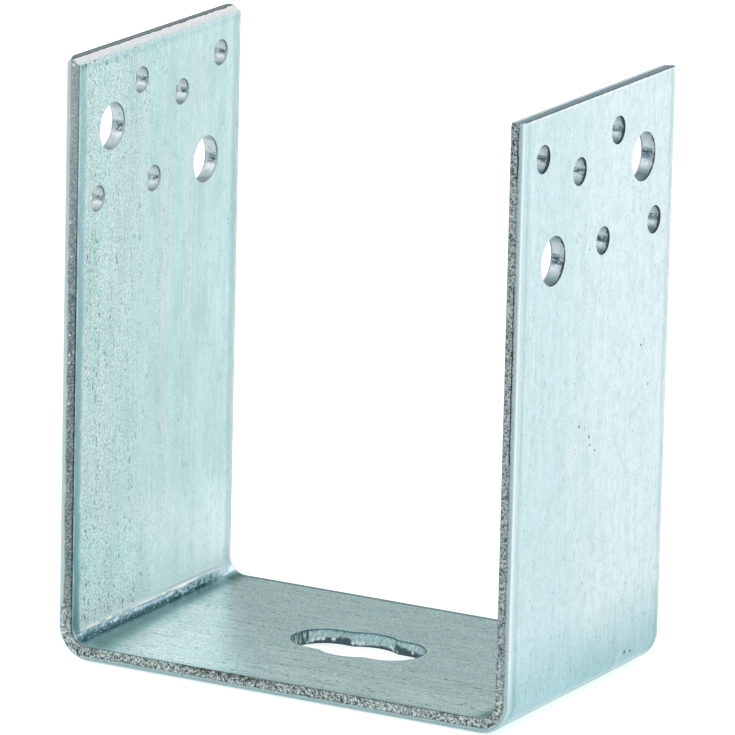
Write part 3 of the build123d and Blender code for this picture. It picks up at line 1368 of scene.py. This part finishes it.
@dataclass(frozen=True)
class PunchedWall:
    """The walls of the holes: burnished bright by the punch, then torn and dark.

    The burnished part is nearly a mirror, with fine scores down it. Its
    reflections of the room are painted, as bright and dark bands by height in
    each hole, with painted glints. The torn band is thin, and darkest where the
    punch ran out.
    """

    # colours down through the sheet
    depths: Stops = (
        (0.0, "#d6ecee", 0.0), (0.1, "#bcd4d8", 0.0), (0.22, "#8ea6ab", 0.1), (0.4, "#c6d5d9", 0.3),
        (1.6, "#cbd9dd", 0.4), (2.2, "#c0d0d4", 0.5), (3.0, "#b4c6cb", 0.5),
    )
    # colours of the cheeks' holes, from bottom to top: painted highlights and dark reflections
    left_walls: Stops = (
        (-1.0, "#88a5ad", 1.0), (-0.94, "#7f9da6", 1.0), (-0.86, "#b8d0d6", 1.0),
        (-0.75, "#def2f6", 1.0), (-0.5, "#fbffff", 1.0), (-0.38, "#eafaff", 1.0),
        (-0.28, "#a3c0c8", 1.0), (-0.2, "#86a6af", 1.0), (-0.04, "#86a6af", 1.0),
        (0.05, "#abc6cd", 1.0), (0.14, "#ecfeff", 1.0), (0.55, "#f2ffff", 1.0),
        (0.8, "#b9d2d8", 1.0), (1.0, "#88a3a9", 1.0),
    )
    right_walls: Stops = (
        (-1.0, "#6b8891", 1.0), (-0.95, "#638089", 1.0), (-0.86, "#99b5bf", 1.0),
        (-0.72, "#dceff5", 1.0), (-0.52, "#ecfafe", 1.0), (-0.4, "#bcd5de", 1.0),
        (-0.28, "#82a7b6", 1.0), (-0.04, "#7498a8", 1.0), (0.06, "#a2c1cc", 1.0),
        (0.14, "#e6feff", 1.0), (0.55, "#f2ffff", 1.0), (0.8, "#b2ccd3", 1.0),
        (1.0, "#7a959b", 1.0),
    )

    def material(self) -> bpy.types.Material:
        """Build the material.

        Returns:
            The material.
        """
        on = Coat("punched_wall")
        along, depth = on.along, on.depth
        bore = on.add("Attribute", attribute_name="bore").outputs["Vector"]
        up, slot, size = on.add("SeparateXYZ", {"Vector": bore}).outputs
        cheek, on_right = on.share(slot, (0, 1), top=0, low=1), on.share(along, (-10, 10))
        # fine score lines down the wall, drawn as coarse as 0.4 mm so that they show
        score = on.lumpy((0.4, 0.4, 2.5), (0.3, 0.7, 0.15, 0.85), 3.0, 6.0)
        shade = on.add("CombineColor", {0: score, 1: score, 2: score})
        plain, strength = on.zones(depth, self.depths)
        mix = {"Factor": strength, "A": plain, "B": shade}
        colour = on.add("Mix", mix, data_type="RGBA", blend_type="OVERLAY")
        # where the tear starts, which differs round each hole
        deep = on.wander(depth, (2.2, 2.2, 40), 0.25, 3.0, 1.7)
        start = on.share(size, (2.5, 4.5), top=0.15, low=-0.05)
        deep = on.add("Math", {0: deep, 1: start}, operation="SUBTRACT")
        torn = on.all_of(on.share(deep, (2.4, 2.6)), on.share(along, (10, 60), top=0.95, low=0.25))
        # a painted dark reflection across the middle of each wall, in scores down it
        tilt = on.wander(up, (60, 60, 40), 0.12, 1.0, 52.0)
        middle = on.share(tilt, (-0.42, -0.3), (0.0, 0.12))
        dark_reflection_strength = on.share(on_right, (0, 1), top=0.9, low=0.85)
        # the painted dark reflection is darkest about a third of the way through, and palest in the left
        # cheek
        beyond = on.share(on.share(depth, (0.3, 0.8), (1.4, 2.2)), (0, 1), top=0, low=1)
        faded = on.all_of(beyond, middle, cheek, on.share(on_right, (0, 1), top=0.2, low=0.8))
        left, right = (on.zones(tilt, walls)[0] for walls in (self.left_walls, self.right_walls))
        inside = on.all_of(on.share(depth, (0.3, 0.45), (8, 9), 0.85), cheek)
        glint_zone = on.share(tilt, (-0.8, -0.6), (0.2, 0.6))
        scuffed = on.share(along, (-14.5, -14), (-12.8, -11.8))
        slot_torn = on.add("Attribute", attribute_name="tear").outputs["Fac"]
        above, below = on.share(up, (-0.2, 0.4), top=0.75), on.share(up, (-0.3, -0.7))
        layers = [
            (inside, on.paint(left, [(on_right, right)])),
            (on.lumpy((0.9, 0.9, 0.9), (0.57, 0.64, 0, 0.35), 4.0, 3.3), "#6f8b96"),
            (on.lumpy((0.45, 0.45, 2.0), (0.46, 0.56, 0, 1), 4.0, 51.0, middle, dark_reflection_strength, cheek), "#2f4d5c"),
            (faded, "#cfe3e9"),
            # painted glints on beads of zinc half a millimetre across
            (on.lumpy((0.6, 0.6, 0.8), (0.54, 0.6, 0, 0.9), 3.0, 53.0, glint_zone, inside), "#f2fbff"),
            # the hole in the base
            (on.all_of(slot, 0.95), "#a6c6c9"),
            (on.lumpy((0.5, 0.5, 0.9), (0.5, 0.66, 0, 0.7), 4.0, 41.0, slot), "#6b8c91"),
            (on.lumpy((0.4, 0.4, 0.6), (0.5, 0.64, 0, 0.8), 4.0, 43.0, slot), "#d5e6e8"),
            (on.lumpy((0.6, 0.5, 1.6), (0.46, 0.56, 0, 0.9), 3.0, 61.0, slot, scuffed), "#3b5558"),
            (torn, "#37454b"),
            (on.all_of(slot, slot_torn), "#4a6065"),
            # the rolled rim: painted shade above, dark in the base, and a painted highlight below
            (on.all_of(on.share(depth, (0.04, 0.1), (0.25, 0.36)), above), "#56686e"),
            (on.all_of(on.share(depth, (0.02, 0.1), (0.2, 0.34), 0.8), slot), "#3d6468"),
            (on.all_of(on.share(depth, (0.0, 0.03), (0.16, 0.25)), below), "#f4fcfd"),
            (on.add("Attribute", attribute_name="zinc").outputs["Fac"], "#e3f0f3"),
        ]
        colour = on.paint(colour, layers)
        gloss, metal = on.share(torn, (0, 1), top=0.5, low=0.32), on.share(slot, (0, 1), top=0.85, low=0.2)
        bump = on.add("Bump", {"Strength": 0.35, "Distance": 0.00003, "Height": score})
        return on.seal(Base_Color=colour, Metallic=metal, Roughness=gloss, Normal=bump)


@dataclass(frozen=True)
class CutEnd:
    """The cropped ends of the strip: a pale rolled side, then slate with dark lines."""

    # the white band from 0.4 to 1.42 mm is a painted highlight on the chamfer
    left_end: Stops = (
        (0.0, "#e6f2f4", 0.0), (0.4, "#f6ffff", 0.0), (1.42, "#ffffff", 0.0),
        (1.52, "#35484c", 0.2), (1.78, "#4a6266", 0.3), (2.05, "#829da0", 0.4),
        (2.4, "#748f92", 0.4), (2.7, "#55686b", 0.2), (3.0, "#6c8083", 0.0),
    )
    right_end: Stops = (
        (0.0, "#f2fafc", 0.0), (0.35, "#eaf3f6", 0.0), (0.95, "#c4d4da", 0.1),
        (1.15, "#6d8a95", 0.2), (1.35, "#5f7d89", 0.2), (1.6, "#8fafbb", 0.35),
        (2.0, "#8aa9b5", 0.35), (2.3, "#617f8b", 0.3), (2.45, "#7f9eaa", 0.3),
        (2.62, "#566c75", 0.3), (2.78, "#374952", 0.6), (3.0, "#41555e", 0.3),
    )

    def material(self) -> bpy.types.Material:
        """Build the material.

        Returns:
            The material.
        """
        on = Coat("cut_end")
        body = on.share(on.depth, (0.6, 0.9), (2.8, 3))
        near = on.wander(on.depth, (40, 3, 40), 0.14, 4.0, 1.0, body)
        (left, strength), (right, _) = (on.zones(near, stops) for stops in (self.left_end, self.right_end))
        side = on.share(on.along, (-1, 1))
        rolled = {"A": on.share(on.depth, (1.5, 1.3)), "B": on.share(on.depth, (1.1, 0.9))}
        rolled = on.add("Mix", {"Factor": side, **rolled})
        layers = [
            (side, right),
            (on.lumpy((40, 0.6, 0.8), (0.45, 0.7, 0, 0.45), 4.0, 6.0, strength), "#dfe8ea"),
            (on.lumpy((40, 1.3, 0.5), (0.64, 0.7, 0, 0.8), 2.0, 3.0, strength), "#20292c"),
            (on.lumpy((0.5, 0.6, 0.5), (0.5, 0.66, 0, 0.5), 4.0, 9.0, rolled), "#c3d2d6"),
        ]
        # the rolled side is matt pale zinc; on the left end its white band is a painted highlight
        metal = on.share(rolled, (0, 1), top=0.05, low=0.8)
        return on.seal(Base_Color=on.paint(left, layers), Metallic=metal, Roughness=0.42)


# ---------------------------------------------------------------- the studio


@dataclass
class Studio:
    """The floor, the soft light and the camera, round the middle of the bracket.

    Angles are in degrees, the lens in millimetres and everything else in metres.
    """

    azimuth: float = 28.93
    elevation: float = 14.41
    roll: float = 1.339
    distance: float = 1.5581
    aim: Triple = (0.000516, 0.000068, 0.05726)
    lens: float = 406.02
    middle: float = 0.06
    floor_half: float = 4.0
    # keeps the floor just under the bracket
    floor_gap: float = 0.0002
    box_size: float = 0.8
    box_distance: float = 1.4
    card_distance: float = 1.2

    def direction(self, azimuth: float, elevation: float) -> Vector:
        """The way from the bracket towards a compass direction.

        Args:
            azimuth: degrees from -Y towards +X.
            elevation: degrees above the floor.

        Returns:
            A unit vector.
        """
        a, e = math.radians(azimuth), math.radians(elevation)
        return Vector((math.sin(a) * math.cos(e), -math.cos(a) * math.cos(e), math.sin(e)))

    def camera(self) -> None:
        """Set the camera up."""
        data = bpy.data.cameras.new("camera")
        data.lens = self.lens
        data.sensor_width = 36
        data.clip_end = 20
        eye = show("camera", data)
        out = self.direction(self.azimuth, self.elevation)
        eye.location = Vector(self.aim) + out * self.distance
        turn = (-out).to_track_quat("-Z", "Y")
        eye.rotation_mode = "QUATERNION"
        eye.rotation_quaternion = turn @ Quaternion((0, 0, 1), math.radians(self.roll))
        bpy.context.scene.camera = eye

    def world(self) -> None:
        """A white room, a little softer on the object than it looks."""
        world = bpy.data.worlds.new("white_room")
        bpy.context.scene.world = world
        on = Nodes(world)
        path = on.add("LightPath")
        rays = {0: path.outputs["Is Camera Ray"], 1: path.outputs["Is Glossy Ray"]}
        seen = on.add("Math", rays, operation="MAXIMUM")
        seen = on.add("Math", {0: seen, 1: path.outputs["Is Transmission Ray"]}, operation="MAXIMUM")
        strength = on.add("MapRange", {"Value": seen, "To Min": 0.6, "To Max": 1.0})
        background = on.add("Background", {"Color": (1, 1, 1, 1), "Strength": strength})
        on.add("OutputWorld", {"Surface": background})

    def sheet(self, name: str, half_w: float, half_h: float) -> bpy.types.Object:
        """Put a flat rectangle in the scene.

        Args:
            name: what it is called.
            half_w: half its width, in metres.
            half_h: half its height.

        Returns:
            The rectangle, at the origin.
        """
        data = bpy.data.meshes.new(name)
        corners = [(-half_w, -half_h, 0), (half_w, -half_h, 0), (half_w, half_h, 0), (-half_w, half_h, 0)]
        data.from_pydata(corners, [], [(0, 1, 2, 3)])
        return show(name, data)

    def floor(self) -> None:
        """A pale matt floor that keeps the bracket's shadow, and glows a little."""
        floor = self.sheet("floor", self.floor_half, self.floor_half)
        floor.location.z = -self.floor_gap
        material = bpy.data.materials.new("pale_floor")
        on = Nodes(material)
        path = on.add("LightPath")
        seen = on.add("Math", {0: path.outputs["Is Camera Ray"], 1: 0.58}, operation="MULTIPLY")
        mirrored = on.add("Math", {0: path.outputs["Is Glossy Ray"], 1: 0.44}, operation="MULTIPLY")
        lift = on.add("Math", {0: seen, 1: mirrored}, operation="MAXIMUM")
        matt = on.add("BsdfDiffuse", {"Color": srgb("#f2f2f2")})
        glow = on.add("Emission", {"Color": (1, 1, 1, 1), "Strength": lift})
        both = on.add("AddShader", {0: matt, 1: glow})
        on.add("OutputMaterial", {"Surface": both})
        floor.data.materials.append(material)

    def hang(
        self, hung: bpy.types.Object, azimuth: float, elevation: float, distance: float, front: float
    ) -> None:
        """Hang a lamp or a card round the bracket, facing it.

        Args:
            hung: what is hung.
            azimuth: degrees from -Y towards +X.
            elevation: degrees above the floor.
            distance: metres from the bracket's middle.
            front: -1 if it faces down its own Z axis, and 1 if up it.
        """
        out = self.direction(azimuth, elevation)
        hung.location = Vector((0, 0, self.middle)) + out * distance
        hung.rotation_mode = "QUATERNION"
        hung.rotation_quaternion = (out * front).to_track_quat("-Z", "Y")

    def lamp(self, name: str, azimuth: float, elevation: float, radiance: float) -> None:
        """Hang a square soft box.

        Args:
            name: what the lamp is called.
            azimuth: degrees from -Y towards +X.
            elevation: degrees above the floor.
            radiance: how bright its surface is.
        """
        data = bpy.data.lights.new(name, "AREA")
        data.shape = "SQUARE"
        data.size = self.box_size
        data.energy = radiance * math.pi * self.box_size**2
        self.hang(show(name, data), azimuth, elevation, self.box_distance, -1)

    def card(self, name: str, azimuth: float, elevation: float, size: Span, grey: str) -> None:
        """Hang a grey card that only reflections see.

        Args:
            name: what the card is called.
            azimuth: degrees from -Y towards +X.
            elevation: degrees above the floor.
            size: its width and height, in metres.
            grey: its hex colour.
        """
        card = self.sheet(name, size[0] / 2, size[1] / 2)
        self.hang(card, azimuth, elevation, self.card_distance, 1)
        card.visible_camera = False
        card.visible_diffuse = False
        card.visible_shadow = False
        material = bpy.data.materials.new(name)
        on = Nodes(material)
        glow = on.add("Emission", {"Color": srgb(grey), "Strength": 1.0})
        on.add("OutputMaterial", {"Surface": glow})
        card.data.materials.append(material)

    def build(self) -> None:
        """Set the whole studio up."""
        bpy.context.scene.view_settings.view_transform = "Standard"
        self.camera()
        self.world()
        self.floor()
        self.lamp("soft_box_right", 150, 35, 1.6)
        self.lamp("soft_box_left", -40, 34, 1.2)
        self.card("card_back_left", 209, 20, (0.9, 0.7), "#bfc4c3")
        self.card("card_front_left", -29, 3, (1.0, 0.3), "#1f2b30")
        self.card("card_overhead", 0, 89.9, (1.5, 1.5), "#d2d9da")


def dress(piece: bpy.types.Object) -> None:
    """Give the bracket its materials, one for each finish in order.

    Args:
        piece: the bracket.
    """
    finishes = {
        Finish.ROLLED: RolledZinc(),
        Finish.SHEARED: ShearedEdge(),
        Finish.CUT_END: CutEnd(),
        Finish.PUNCHED: PunchedWall(),
    }
    for finish in Finish:
        piece.data.materials.append(finishes[finish].material())


def main() -> None:
    """Build the scene and report each piece."""
    logging.basicConfig(level=logging.INFO, format="%(name)s: %(message)s")
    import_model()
    Studio().build()
    piece = Bracket().build()
    dress(piece)
    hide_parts(NODE)
    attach(piece, "root")
    mesh = piece.data
    mesh.calc_loop_triangles()
    LOG.info("%s: %d points, %d triangles", piece.name, len(mesh.vertices), len(mesh.loop_triangles))


if __name__ == "__main__":
    main()
